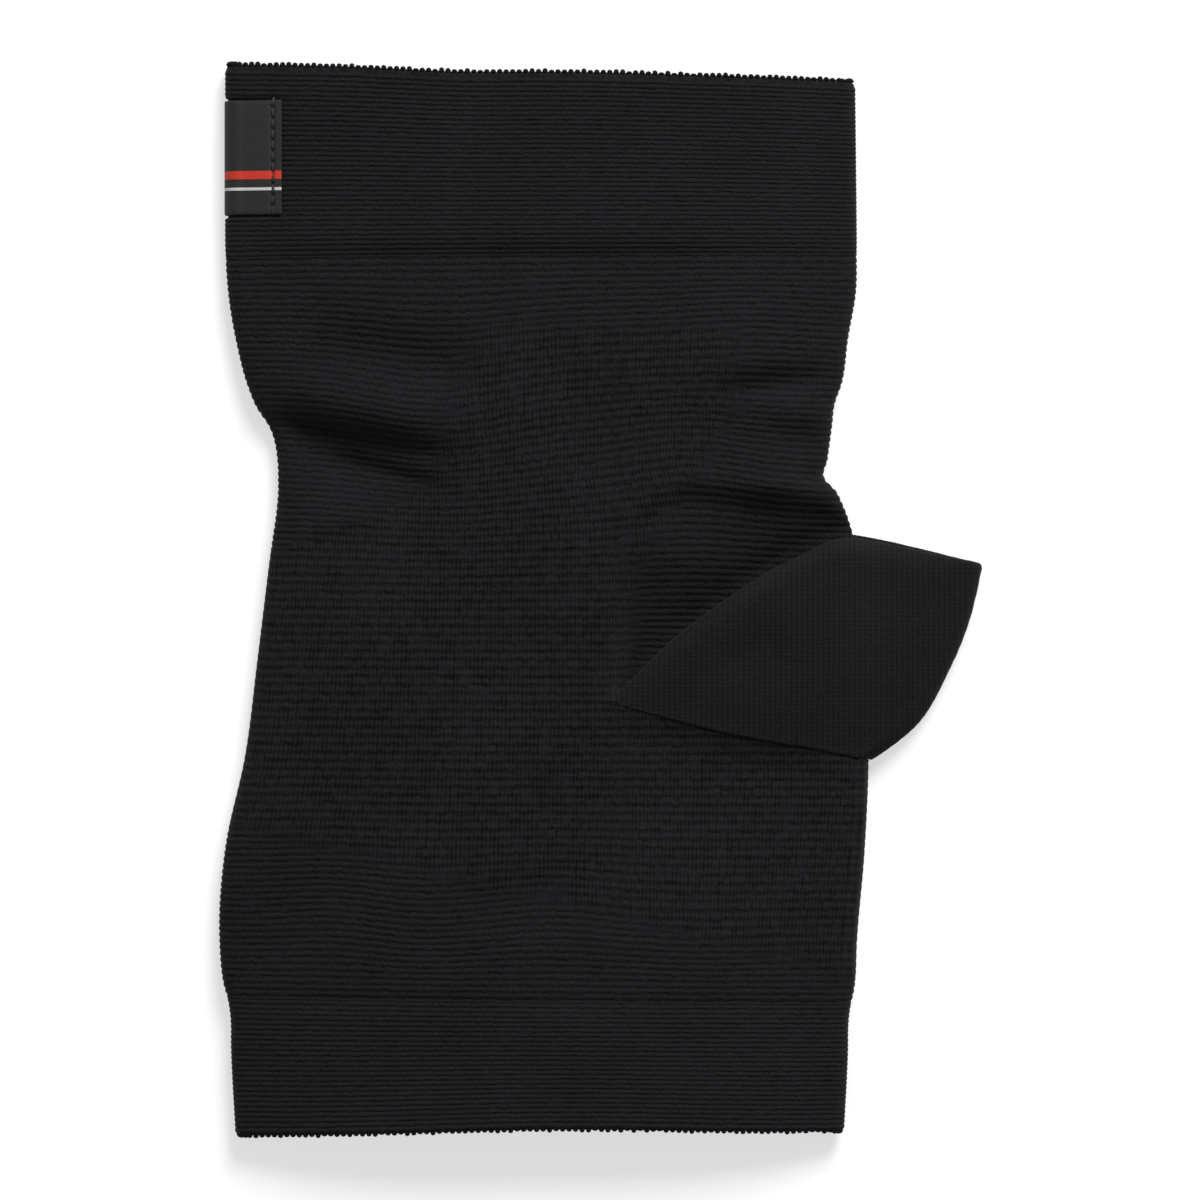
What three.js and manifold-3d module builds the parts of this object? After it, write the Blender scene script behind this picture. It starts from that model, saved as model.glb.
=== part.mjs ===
// Ankle support sleeve: a knitted elastic tube lying flat, with a doubled cuff at the calf and another at
// the foot, a plain-knit heel pocket that lies folded over the back of the tube, and a woven label sewn
// round one side edge. Millimetres. The sleeve rests on z = 0, its calf end towards +y, its heel towards +x.
import * as THREE from "three";
import { mergeVertices } from "three/addons/utils/BufferGeometryUtils.js";
import Module from "manifold-3d";

const { lerp, inverseLerp, smoothstep, degToRad } = THREE.MathUtils;

// Driving dimensions
const SLEEVE_LENGTH = 182.8;
const CALF_END = SLEEVE_LENGTH / 2;
const BODY_WALL = 1.6;
const CUFF_WALL = 2.4;
const SEAM_GAP = 0.5;

// How the flattened tube stands: the height of its folded side edges, and how late its crown and its
// folds fall off towards them
const EDGE_HEIGHT = 5.6;
const CROWN_POWER = 2.6;
const FOLD_POWER = 6;

// Cross sections of the flat tube, by distance down from the calf rim: the x of both side edges and the
// height of the upper layer at mid width
const SECTIONS = [
  { down: 0.0, left: -63.7, right: 43.3, crown: 10.8 },
  { down: 31.3, left: -63.7, right: 43.6, crown: 10.8 },
  { down: 38.8, left: -63.2, right: 43.5, crown: 10.3 },
  { down: 47.3, left: -61.8, right: 42.1, crown: 10.3 },
  { down: 54.9, left: -59.8, right: 41.0, crown: 10.3 },
  { down: 58.3, left: -58.4, right: 39.8, crown: 10.3 },
  { down: 61.7, left: -56.2, right: 39.2, crown: 10.2 },
  { down: 67.7, left: -54.8, right: 38.4, crown: 10.2 },
  { down: 71.6, left: -54.7, right: 38.2, crown: 10.2 },
  { down: 74.6, left: -54.8, right: 41.0, crown: 10.2 },
  { down: 82.1, left: -55.8, right: 44.0, crown: 10.2 },
  { down: 101.7, left: -58.2, right: 45.3, crown: 10.2 },
  { down: 118.2, left: -60.3, right: 45.6, crown: 10.2 },
  { down: 134.0, left: -63.7, right: 44.9, crown: 10.2 },
  { down: 149.3, left: -64.7, right: 43.6, crown: 10.2 },
  { down: 156.1, left: -64.2, right: 43.3, crown: 10.3 },
  { down: 162.9, left: -62.6, right: 42.1, crown: 10.8 },
  { down: 182.8, left: -61.4, right: 41.2, crown: 10.8 },
];

// Lines that cross the tube, by distance down from the calf rim at the left and the right side edge
const CALF_RIM = { left: 0.0, right: 2.9 };
const CALF_SEAM = { left: 33.2, right: 32.5 };
const FOLDS_END = { left: 85.0, right: 85.0 };
const FOOT_SEAM = { left: 159.1, right: 160.2 };
const FOOT_RIM = { left: 182.8, right: 181.8 };

// Folds in the upper layer: the middle of each fold line, its heading from +x, half its length, half its
// width and its height, which is below zero for a furrow
const FOLDS = [
  { name: "instep furrow", x: -44.0, down: 64.6, heading: -11, reach: 17, spread: 3.2, height: -3.5 },
  { name: "instep ridge", x: -44.0, down: 57.4, heading: -12, reach: 17, spread: 3.4, height: 0.7 },
  { name: "shin hollow", x: -35.0, down: 50.8, heading: -10, reach: 14, spread: 5.2, height: -2.1 },
  { name: "instep crumple", x: -45.0, down: 80.6, heading: 19, reach: 6.5, spread: 2.4, height: -0.7 },
  { name: "back furrow", x: 30.0, down: 54.9, heading: 11, reach: 7.5, spread: 2.2, height: -1.3 },
  { name: "back ridge", x: 36.0, down: 58.4, heading: 5, reach: 9, spread: 2.4, height: 1.3 },
  { name: "crease ridge", x: 33.0, down: 70.6, heading: -2, reach: 13, spread: 3.0, height: 1.4 },
];

// The hollow above the heel pocket, where both layers of the tube are tucked into the pocket: the crease
// that it starts from, the x over which it deepens and the distance down over which it runs out again
const TUCK_CREASE = { from: { x: 6.0, down: 75.0 }, to: { x: 40.0, down: 72.6 }, width: 4.4 };
const TUCK_SIDE = { from: 1.0, to: 13.0 };
const TUCK_END = { from: 99.0, to: 107.0 };
const TUCK_UPPER = 6.4;
const TUCK_LOWER = 2.6;

// Heel pocket in plan: its four edges, each a curve through a few points from left to right or from the
// foot side up. The rim is the folded edge that lies over the tuck.
const POCKET_WALL = 1.8;
const POCKET_RIM_WALL = 2.2;
const POCKET_EDGE_HEIGHT = 5.0;
const POCKET_CREST = { crease: 9.9, rim: 10.6 };
const POCKET_FALL_POWER = 2.8;
const POCKET_RISE_SHARE = 0.4;
const POCKET_RIM_SHARE = 0.3;
const POCKET_EDGES = {
  crease: [[5.5, -18.2], [21.0, -22.1], [38.1, -25.2], [44.0, -26.6]],
  rim: [[4.0, -15.6], [25.9, 3.7], [33.7, 8.1], [40.5, 10.6], [47.5, 9.8], [62.2, 6.3]],
  gore: [[5.5, -18.2], [4.0, -15.6]],
  heel: [[44.0, -26.6], [51.3, -19.6], [57.0, -10.6], [60.0, -2.5], [62.2, 6.3]],
};

// The opening of the tube into the pocket: the share of the rim that the tube's edge runs beside before it
// dips under the pocket, how far it keeps clear of the gore, and the far corners beyond the heel
const OPENING_BESIDE_RIM = 0.16;
const OPENING_CLEAR = 0.9;
const OPENING_CORNERS = { x: 70.0, upper: 8.4, lower: -31.0 };

// Woven label, folded round the left edge of the calf cuff and sewn down
const LABEL = { from: 6.1, to: 26.0, end: -54.0, thickness: 1.0, sink: 0.8, pinch: 1.0 };
const LABEL_SEAT = { margin: 0.6, slope: 1.2 };

// Mesh fineness
const BODY_STEPS = { across: 22, creased: 24, smooth: 14 };
const CUFF_STEPS = { across: 12, along: 4 };
const POCKET_STEPS = { across: 14, along: 12 };
const FOLD_ARC_STEPS = 4;
const OPENING_STEPS = 3;
const LABEL_STEPS = 3;

const wasm = await Module();
wasm.setup();

// Outline of the flat tube

const sectionTable = new THREE.CubicInterpolant(
  SECTIONS.map((row) => row.down),
  SECTIONS.flatMap((row) => [row.left, row.right, row.crown]),
  3,
);

// How much of the label's seat there is at this distance down, from 0 to 1
function labelSeat(down) {
  const { margin, slope } = LABEL_SEAT;
  const begins = smoothstep(down, LABEL.from - margin - slope, LABEL.from - margin);
  return begins - smoothstep(down, LABEL.to + margin, LABEL.to + margin + slope);
}

function outlineAt(line) {
  const [left, right, crown] = sectionTable.evaluate((line.left + line.right) / 2);
  return { left: left + LABEL.pinch * labelSeat(line.left), right, crown };
}

// How far a point lies in the tuck above the heel pocket, from 0 to 1
function tuckAt(x, down) {
  const { from, to, width } = TUCK_CREASE;
  const crease = lerp(from.down, to.down, (x - from.x) / (to.x - from.x));
  const deepens = smoothstep(x, TUCK_SIDE.from, TUCK_SIDE.to);
  const begins = smoothstep(down, crease - width / 2, crease + width / 2);
  return deepens * (begins - smoothstep(down, TUCK_END.from, TUCK_END.to));
}

// How much of a point lies on the label's two leaves, from 0 to 1
function labelLeaf(x, down) {
  const { margin, slope } = LABEL_SEAT;
  return labelSeat(down) * (1 - smoothstep(x, LABEL.end + margin, LABEL.end + margin + slope));
}

function foldHeight(x, down) {
  let height = 0;
  for (const fold of FOLDS) {
    const heading = degToRad(fold.heading);
    const dx = x - fold.x;
    const dy = fold.down - down;
    const along = (dx * Math.cos(heading) + dy * Math.sin(heading)) / fold.reach;
    const across = (dy * Math.cos(heading) - dx * Math.sin(heading)) / fold.spread;
    height += fold.height * Math.exp(-(along ** 4) - across ** 2);
  }
  return height;
}

// Height of the outside of the upper layer. Folds die out towards the side edges.
function upperHeight(x, down, outline) {
  const middle = (outline.left + outline.right) / 2;
  const half = (outline.right - outline.left - EDGE_HEIGHT) / 2;
  const share = Math.min(Math.abs(x - middle) / half, 1);
  const crown = EDGE_HEIGHT + (outline.crown - EDGE_HEIGHT) * (1 - share ** CROWN_POWER);
  const folded = crown + foldHeight(x, down) * (1 - share ** FOLD_POWER);
  return lerp(folded, TUCK_UPPER, tuckAt(x, down)) - LABEL.sink * labelLeaf(x, down);
}

// Height of the outside of the lower layer, which is flat but for the tuck and the label's back leaf
function lowerHeight(x, down) {
  const underLabel = (LABEL.thickness + SEAM_GAP) * labelLeaf(x, down);
  return TUCK_LOWER * tuckAt(x, down) + underLabel;
}

// Walls of cloth

// The layers of the tube along one line across it, and the round folds that join them at both sides
function spanAt(line) {
  const outline = outlineAt(line);
  const { left, right } = outline;
  const downAt = (x) => lerp(line.left, line.right, (x - left) / (right - left));
  const upperAt = (x) => upperHeight(x, downAt(x), outline);
  const lowerAt = (x) => lowerHeight(x, downAt(x));
  const edge = (x) => {
    const radius = (upperAt(x) - lowerAt(x)) / 2;
    return { radius, middle: lowerAt(x) + radius };
  };
  const leftEdge = edge(left);
  const rightEdge = edge(right);
  const flatFrom = left + leftEdge.radius;
  const flatTo = right - rightEdge.radius;
  return { downAt, upperAt, lowerAt, leftEdge, rightEdge, flatFrom, flatTo };
}

// One turn round the outside of the tube: the lower layer from left to right, the folded right edge, the
// upper layer from right to left and the folded left edge. The stops are shares of the flat width.
function ringAt(line, stops) {
  const { downAt, upperAt, lowerAt, leftEdge, rightEdge, flatFrom, flatTo } = spanAt(line);
  const at = (x, z) => new THREE.Vector3(x, CALF_END - downAt(x), z);
  const xs = stops.map((share) => lerp(flatFrom, flatTo, share));
  const fold = (x, { radius, middle }, side) => {
    const arc = [];
    for (let step = 1; step < FOLD_ARC_STEPS; step++) {
      const turn = side * Math.PI * (step / FOLD_ARC_STEPS - 0.5);
      arc.push(at(x + side * radius * Math.cos(turn), middle + radius * Math.sin(turn)));
    }
    return arc;
  };
  const lower = xs.map((x) => at(x, lowerAt(x)));
  const upper = xs.map((x) => at(x, upperAt(x))).reverse();
  return [...lower, ...fold(flatTo, rightEdge, 1), ...upper, ...fold(flatFrom, leftEdge, -1)];
}

function evenStops(count) {
  return Array.from({ length: count + 1 }, (_, step) => step / count);
}

function lineBetween(start, end, share) {
  return { left: lerp(start.left, end.left, share), right: lerp(start.right, end.right, share) };
}

function shifted(line, down) {
  return { left: line.left + down, right: line.right + down };
}

// The inside of a wall: each outside point moved in along the surface normal
function insideOf(outer, isRing, wallAt) {
  return outer.map((row, j) => {
    const before = outer[Math.max(j - 1, 0)];
    const after = outer[Math.min(j + 1, outer.length - 1)];
    return row.map((point, i) => {
      const last = row.length - 1;
      const previous = i > 0 ? i - 1 : isRing ? last : 0;
      const next = i < last ? i + 1 : isRing ? 0 : last;
      const along = after[i].clone().sub(before[i]);
      const normal = row[next].clone().sub(row[previous]).cross(along).normalize();
      return point.clone().addScaledVector(normal, -wallAt(j));
    });
  });
}

// A closed wall between an outside and an inside grid of points, whose rows are rings or open strips
function wallGeometry(outer, inner, isRing) {
  const rows = outer.length;
  const columns = outer[0].length;
  const positions = [...outer.flat(), ...inner.flat()].flatMap((p) => p.toArray());
  const outside = (j, i) => j * columns + (i % columns);
  const inside = (j, i) => rows * columns + outside(j, i);
  const index = [];
  const quad = (a, b, c, d) => index.push(a, b, c, a, c, d);
  const spans = isRing ? columns : columns - 1;
  for (let i = 0; i < spans; i++) {
    for (let j = 0; j < rows - 1; j++) {
      quad(outside(j, i), outside(j, i + 1), outside(j + 1, i + 1), outside(j + 1, i));
      quad(inside(j, i), inside(j + 1, i), inside(j + 1, i + 1), inside(j, i + 1));
    }
    quad(outside(0, i + 1), outside(0, i), inside(0, i), inside(0, i + 1));
    const end = rows - 1;
    quad(outside(end, i), outside(end, i + 1), inside(end, i + 1), inside(end, i));
  }
  for (let j = 0; j < rows - 1 && !isRing; j++) {
    const last = columns - 1;
    quad(outside(j, 0), outside(j + 1, 0), inside(j + 1, 0), inside(j, 0));
    quad(outside(j + 1, last), outside(j, last), inside(j, last), inside(j + 1, last));
  }
  const geometry = new THREE.BufferGeometry();
  geometry.setAttribute("position", new THREE.Float32BufferAttribute(positions, 3));
  geometry.setIndex(index);
  return geometry;
}

function tubeGeometry(lines, stops, wall) {
  const outer = lines.map((line) => ringAt(line, stops));
  return wallGeometry(outer, insideOf(outer, true, () => wall), true);
}

// Cutting

function solidOf(geometry) {
  const bare = geometry.clone();
  bare.deleteAttribute("normal");
  bare.deleteAttribute("uv");
  const merged = mergeVertices(bare);
  const vertProperties = merged.attributes.position.array;
  const triVerts = new Uint32Array(merged.index.array);
  return new wasm.Manifold(new wasm.Mesh({ numProp: 3, vertProperties, triVerts }));
}

function cut(geometry, tool) {
  const mesh = solidOf(geometry).subtract(solidOf(tool)).getMesh();
  const result = new THREE.BufferGeometry();
  result.setAttribute("position", new THREE.BufferAttribute(mesh.vertProperties, 3));
  result.setIndex(new THREE.BufferAttribute(mesh.triVerts, 1));
  return result;
}

// Cuffs and body

function calfCuff() {
  const end = shifted(CALF_SEAM, -SEAM_GAP / 2);
  const { margin, slope } = LABEL_SEAT;
  const middle = (LABEL.from + LABEL.to) / 2;
  const downs = [
    LABEL.from - margin - slope,
    LABEL.from - margin,
    middle,
    LABEL.to + margin,
    LABEL.to + margin + slope,
  ];
  const shares = [0, ...downs.map((down) => (down - CALF_RIM.left) / (end.left - CALF_RIM.left)), 1];
  const lines = shares.map((share) => lineBetween(CALF_RIM, end, share));
  const { flatFrom, flatTo } = spanAt({ left: middle, right: middle });
  const labelEnds = [LABEL.end + margin, LABEL.end + margin + slope];
  const labelStops = labelEnds.map((x) => inverseLerp(flatFrom, flatTo, x));
  const stops = [...evenStops(CUFF_STEPS.across), ...labelStops].sort((a, b) => a - b);
  return tubeGeometry(lines, stops, CUFF_WALL);
}

function footCuff() {
  const start = shifted(FOOT_SEAM, SEAM_GAP / 2);
  const lines = evenStops(CUFF_STEPS.along).map((share) => lineBetween(start, FOOT_RIM, share));
  return tubeGeometry(lines, evenStops(CUFF_STEPS.across), CUFF_WALL);
}

function plainCurve(points) {
  return new THREE.SplineCurve(points.map(([x, y]) => new THREE.Vector2(x, y)));
}

const pocketCurves = {
  crease: plainCurve(POCKET_EDGES.crease),
  rim: plainCurve(POCKET_EDGES.rim),
  gore: plainCurve(POCKET_EDGES.gore),
  heel: plainCurve(POCKET_EDGES.heel),
};

// The prism that opens the back of the tube into the heel pocket, a seam's gap clear of the pocket
function heelOpening() {
  const shape = new THREE.Shape();
  const { x, upper, lower } = OPENING_CORNERS;
  const [goreFoot, goreCalf] = POCKET_EDGES.gore;
  const clear = new THREE.Vector2(-1, 1).setLength(SEAM_GAP);
  const shares = evenStops(OPENING_STEPS).reverse();
  const beside = shares.map((share) => pocketCurves.rim.getPoint(OPENING_BESIDE_RIM * share));
  shape.setFromPoints(beside.map((point) => point.add(clear)));
  shape.lineTo(goreCalf[0] - OPENING_CLEAR, goreCalf[1]);
  shape.lineTo(goreFoot[0] - OPENING_CLEAR, goreFoot[1] - SEAM_GAP);
  for (const [creaseX, creaseY] of POCKET_EDGES.crease.slice(1)) {
    shape.lineTo(creaseX, creaseY - SEAM_GAP);
  }
  shape.lineTo(x, lower);
  shape.lineTo(x, upper);
  const depth = 4 * EDGE_HEIGHT;
  return new THREE.ExtrudeGeometry(shape, { depth, bevelEnabled: false }).translate(0, 0, -EDGE_HEIGHT);
}

function ankleBody() {
  const start = shifted(CALF_SEAM, SEAM_GAP / 2);
  const end = shifted(FOOT_SEAM, -SEAM_GAP / 2);
  const creased = evenStops(BODY_STEPS.creased).map((share) => lineBetween(start, FOLDS_END, share));
  const smooth = evenStops(BODY_STEPS.smooth).map((share) => lineBetween(FOLDS_END, end, share));
  const lines = [...creased, ...smooth.slice(1)];
  return cut(tubeGeometry(lines, evenStops(BODY_STEPS.across), BODY_WALL), heelOpening());
}

// Heel pocket

// A point in plan, blended from the four edges: along runs from the crease to the rim, across from the
// gore to the heel
function pocketPlan(along, across) {
  const { crease, rim, gore, heel } = pocketCurves;
  const between = crease.getPoint(across).lerp(rim.getPoint(across), along);
  const sides = gore.getPoint(along).lerp(heel.getPoint(along), across);
  const footSide = crease.getPoint(0).lerp(crease.getPoint(1), across);
  const corners = footSide.lerp(rim.getPoint(0).lerp(rim.getPoint(1), across), along);
  return between.add(sides).sub(corners);
}

// One strip of the pocket: out along the upper layer, round the folded heel edge and back underneath
function pocketStrip(along) {
  const radius = POCKET_EDGE_HEIGHT / 2;
  const shares = evenStops(POCKET_STEPS.across);
  const lower = shares.map((across) => {
    const { x, y } = pocketPlan(along, across);
    return new THREE.Vector3(x, y, 0);
  });
  const upper = lower.map((point, step) => {
    const across = shares[step];
    const rise = along * smoothstep(across, 0, POCKET_RISE_SHARE);
    const crest = lerp(POCKET_CREST.crease, POCKET_CREST.rim, rise);
    const fall = 1 - across ** POCKET_FALL_POWER;
    return point.clone().setZ(POCKET_EDGE_HEIGHT + (crest - POCKET_EDGE_HEIGHT) * fall);
  });
  const edge = lower.at(-1);
  const outward = edge.clone().sub(lower.at(-2)).normalize();
  const fold = [];
  for (let step = 1; step < FOLD_ARC_STEPS; step++) {
    const turn = Math.PI * (0.5 - step / FOLD_ARC_STEPS);
    const point = edge.clone().addScaledVector(outward, radius * Math.cos(turn));
    fold.push(point.setZ(radius + radius * Math.sin(turn)));
  }
  return [...upper, ...fold, ...lower.reverse()];
}

function heelPocket() {
  const shares = evenStops(POCKET_STEPS.along);
  const outer = shares.map(pocketStrip);
  const rimFrom = 1 - POCKET_RIM_SHARE;
  const wallAt = (row) => lerp(POCKET_WALL, POCKET_RIM_WALL, smoothstep(shares[row], rimFrom, 1));
  return wallGeometry(outer, insideOf(outer, false, wallAt), false);
}

// Label

// A strip of even thickness that follows the cuff's section round its left edge, drawn in x and z
function label() {
  const middle = (LABEL.from + LABEL.to) / 2;
  const line = { left: middle, right: middle };
  const { flatFrom, flatTo } = spanAt(line);
  const end = inverseLerp(flatFrom, flatTo, LABEL.end);
  const leafStops = evenStops(LABEL_STEPS).map((share) => share * end);
  const ring = ringAt(line, leafStops);
  const lowerLeaf = leafStops.length;
  const upperFrom = lowerLeaf + FOLD_ARC_STEPS - 1;
  const wrap = [...ring.slice(upperFrom), ...ring.slice(0, lowerLeaf)];
  const section = wrap.map((point) => new THREE.Vector2(point.x, point.z));
  const offset = (distance) =>
    section.map((point, i) => {
      const tangent = section[Math.min(i + 1, section.length - 1)].clone().sub(section[Math.max(i - 1, 0)]);
      const outward = new THREE.Vector2(tangent.y, -tangent.x).normalize();
      return point.clone().addScaledVector(outward, distance);
    });
  const outside = offset(SEAM_GAP + LABEL.thickness);
  const shape = new THREE.Shape([...outside, ...offset(SEAM_GAP).reverse()]);
  const depth = LABEL.to - LABEL.from;
  const geometry = new THREE.ExtrudeGeometry(shape, { depth, bevelEnabled: false });
  return geometry.rotateX(Math.PI / 2).translate(0, CALF_END - LABEL.from, 0);
}

// Assembly

const sleeve = new THREE.Group();
const pieces = [
  { name: "calf_cuff", geometry: calfCuff(), color: 0x1d1e20, roughness: 0.95 },
  { name: "ankle_body", geometry: ankleBody(), color: 0x1c1d1f, roughness: 0.95 },
  { name: "heel_pocket", geometry: heelPocket(), color: 0x1b1b1b, roughness: 1.0 },
  { name: "foot_cuff", geometry: footCuff(), color: 0x1d1e20, roughness: 0.95 },
  { name: "label", geometry: label(), color: 0x303131, roughness: 0.7 },
];
for (const { name, geometry, color, roughness } of pieces) {
  const material = new THREE.MeshStandardMaterial({ color, roughness, metalness: 0 });
  const mesh = new THREE.Mesh(geometry, material);
  mesh.name = name;
  sleeve.add(mesh);
}

export default sleeve;
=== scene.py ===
"""Looks of an ankle support sleeve that lies flat: ribbed and tuck-stitch knit, a plain-knit heel pocket,
doubled cuffs and a woven label. Lengths are in millimetres until a mesh is made, in the solids' own frame."""
import math
from itertools import product

import bpy
import numpy as np
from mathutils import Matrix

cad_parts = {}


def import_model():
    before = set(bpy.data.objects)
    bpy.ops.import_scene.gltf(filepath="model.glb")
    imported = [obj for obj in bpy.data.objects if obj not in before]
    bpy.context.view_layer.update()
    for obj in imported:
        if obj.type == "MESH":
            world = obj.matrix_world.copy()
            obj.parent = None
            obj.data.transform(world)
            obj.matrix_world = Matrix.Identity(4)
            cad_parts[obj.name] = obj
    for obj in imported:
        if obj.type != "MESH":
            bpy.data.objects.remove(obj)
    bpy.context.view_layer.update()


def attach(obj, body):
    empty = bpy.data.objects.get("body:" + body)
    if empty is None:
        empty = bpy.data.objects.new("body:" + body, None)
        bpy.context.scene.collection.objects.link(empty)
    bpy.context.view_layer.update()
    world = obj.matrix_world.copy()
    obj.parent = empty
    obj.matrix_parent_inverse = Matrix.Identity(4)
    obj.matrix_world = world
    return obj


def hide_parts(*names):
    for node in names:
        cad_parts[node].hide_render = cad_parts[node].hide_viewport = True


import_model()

MM = 0.001
KNIT_LAYER = "knit"
MESH_LAYER = "mesh_zone"

# The flat tube: its calf end, the height of its side edges, how late its crown and its folds fall off to them
# and how much of a fold is lost there, its walls and its middle
CALF_END = 91.4
EDGE_HEIGHT = 5.6
CROWN_POWER = 2.6
FOLD_POWER = 14
FOLD_LOSS = 0.4
BODY_WALL = 1.1
CUFF_WALL = 2.4
TUBE_MIDDLE = (-10.0, 0.0, 5.0)

# Columns of a turn round the tube: along the lower layer, round each side fold and along the upper layer
CUFF_RING = (32, 8, 64)
BODY_RING = (24, 6, 62)
LOOP_RING = (200, 16, 200)
LABEL_RING = (400, 24, 400)

# The flat width that the wales keep to, and how near the side edges they follow the outline instead
WALE_SPAN = (-58.0, 40.0)
WALE_EDGE_POWER = 4

# Cross sections by distance down from the calf rim: both side edges and the height at mid width, then how far
# the knit stands proud of the edges
SECTIONS = [
    (0.0, -63.7, 43.3, 10.8),
    (24.0, -63.7, 43.55, 10.8),
    (30.4, -63.7, 43.6, 10.75),
    (33.4, -63.6, 43.6, 9.9),
    (38.8, -63.2, 43.5, 10.05),
    (47.3, -61.8, 42.1, 10.3),
    (54.9, -59.8, 41.0, 10.3),
    (58.3, -58.4, 39.8, 10.3),
    (61.7, -56.2, 39.4, 10.2),
    (67.7, -54.8, 38.6, 10.2),
    (70.9, -54.7, 38.1, 10.2),
    (72.9, -54.7, 40.0, 10.2),
    (75.0, -54.85, 41.1, 10.2),
    (82.1, -55.8, 43.5, 10.2),
    (101.7, -58.2, 45.3, 10.2),
    (118.2, -60.3, 45.6, 10.2),
    (134.0, -63.7, 44.9, 9.85),
    (149.3, -64.7, 43.6, 9.4),
    (156.1, -64.2, 43.3, 9.35),
    (162.9, -62.8, 42.2, 9.9),
    (168.0, -62.7, 42.1, 10.12),
    (182.8, -61.9, 41.4, 10.75),
]
SIDE_PROUD = 0.2

# Lines across the tube, by distance down at its left and right edges, the gap and the rounding at the seams,
# and the rims' set-back and rounding
CALF_RIM = (-0.2, 2.6)
CALF_SEAM = (33.2, 32.5)
FOOT_SEAM = (159.1, 160.2)
FOOT_RIM = (182.95, 182.25)
SEAM_GAP = -0.3
SEAM_ROUND = 0.2
RIM_SET_BACK = 0.35
CALF_RIM_ROUND = 1.0
FOOT_RIM_ROUND = 0.35

# Each rim's stray from a straight line: its middle and reach along x, and its shift towards the foot
CALF_RIM_STRAY = (-24.0, 14.0, 0.5)
FOOT_RIM_STRAY = (-8.0, 32.0, -1.05)

# How deep and how gently each end of a stretch dips to its seam, the dip's share at the side folds, and the
# heights between which it grows
DIP_NONE = (0.0, 1.0)
DIP_CALF_CUFF = (0.15, 1.2)
DIP_BODY_CALF = (0.2, 0.8)
DIP_BODY_FOOT = (0.45, 1.3)
DIP_FOOT_CUFF = (0.4, 2.0)
DIP_AT_SIDES = 0.25
DIP_SIDE_HEIGHT = (5.5, 8.5)

# Folds of the upper layer: the middle of each fold line, its heading from +x in degrees, half its length, how
# far it spreads towards the calf and towards the foot, and its height, which is below zero for a furrow. The
# power says how bluntly a fold line ends
FOLD_END_POWER = 4
FOLDS = [
    (-44.0, 64.3, -11.0, 17.0, 2.7, 8.0, -3.5),
    (-37.0, 70.0, -17.0, 9.5, 2.2, 14.0, -2.2),
    (-44.0, 57.4, -12.0, 17.0, 4.5, 2.2, 0.7),
    (-35.0, 50.8, -10.0, 14.0, 5.5, 5.0, -2.1),
    (-45.0, 80.6, 19.0, 6.5, 1.2, 3.4, -0.7),
    (29.0, 54.9, 11.0, 7.5, 2.6, 1.8, -1.3),
    (38.0, 59.0, 5.0, 8.0, 3.0, 3.6, 2.6),
    (30.0, 63.8, 4.0, 8.0, 2.2, 3.0, -0.3),
    (30.0, 50.0, 6.0, 15.0, 15.0, 5.5, 1.5),
    (22.0, 71.2, -2.0, 14.0, 4.5, 2.0, 0.5),
    (36.0, 72.2, -2.0, 11.0, 8.0, 2.4, 1.7),
    (20.0, 119.5, -14.0, 20.0, 8.0, 30.0, -3.6),
    (-23.0, 147.0, 90.0, 16.0, 16.0, 9.0, 1.2),
    (16.0, 147.0, 90.0, 15.0, 9.0, 14.0, 0.9),
    (-16.0, 141.0, 12.0, 12.0, 3.0, 4.0, -0.5),
    (-9.0, 150.0, 4.0, 12.0, 4.0, 3.0, 0.4),
]

# Drifts of the knit's courses from level: the middle of each, its reach along x and down, and its shift
# towards the foot. All drift eases off to the seams
DRIFT_EASE = 9.0
DRIFTS = [
    (-27.0, 58.0, 16.0, 20.0, 3.4),
    (15.0, 71.0, 13.0, 13.0, -2.4),
    (-46.0, 143.0, 9.0, 12.0, -0.7),
    (-30.0, 146.0, 9.0, 12.0, 0.7),
    (-8.0, 143.0, 10.0, 10.0, -1.0),
    (18.0, 150.0, 14.0, 12.0, 0.6),
    (25.0, 45.0, 12.0, 10.0, -0.8),
]

# The hollow above the heel pocket, where the tube is tucked into the pocket: its ledge by x and distance
# down, the ledge's width, the upper layer's height below it, and the slopes at which that layer falls along
# the shelf and then down to the pocket's rim
TUCK_LEDGE_COLUMNS = ("x", "down", "width", "height", "shelf", "slope")
TUCK_LEDGE = [
    (2.0, 79.5, 3.0, 9.8, 0.05, 0.30),
    (8.5, 75.2, 3.0, 9.4, 0.05, 0.35),
    (14.5, 73.2, 5.4, 8.2, 0.06, 0.47),
    (20.0, 73.5, 5.2, 7.6, 0.14, 0.55),
    (26.0, 74.2, 5.0, 7.0, 0.30, 0.62),
    (32.0, 74.6, 5.2, 6.2, 0.38, 0.60),
    (38.0, 74.8, 5.4, 5.5, 0.40, 0.58),
    (44.0, 74.8, 5.4, 4.8, 0.40, 0.58),
]

# The hollow's fade at its left side and at the crease, the upper layer's height at the rim, how gently shelf
# and slope meet, and the lower layer's height and the room over it
TUCK_SIDE = (0.5, 6.0)
TUCK_END = (-4.0, -0.4)
TUCK_POCKET = 2.0
TUCK_ROUND = 0.4
TUCK_LOWER = 0.3
TUCK_LEAST = 2.3

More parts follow.
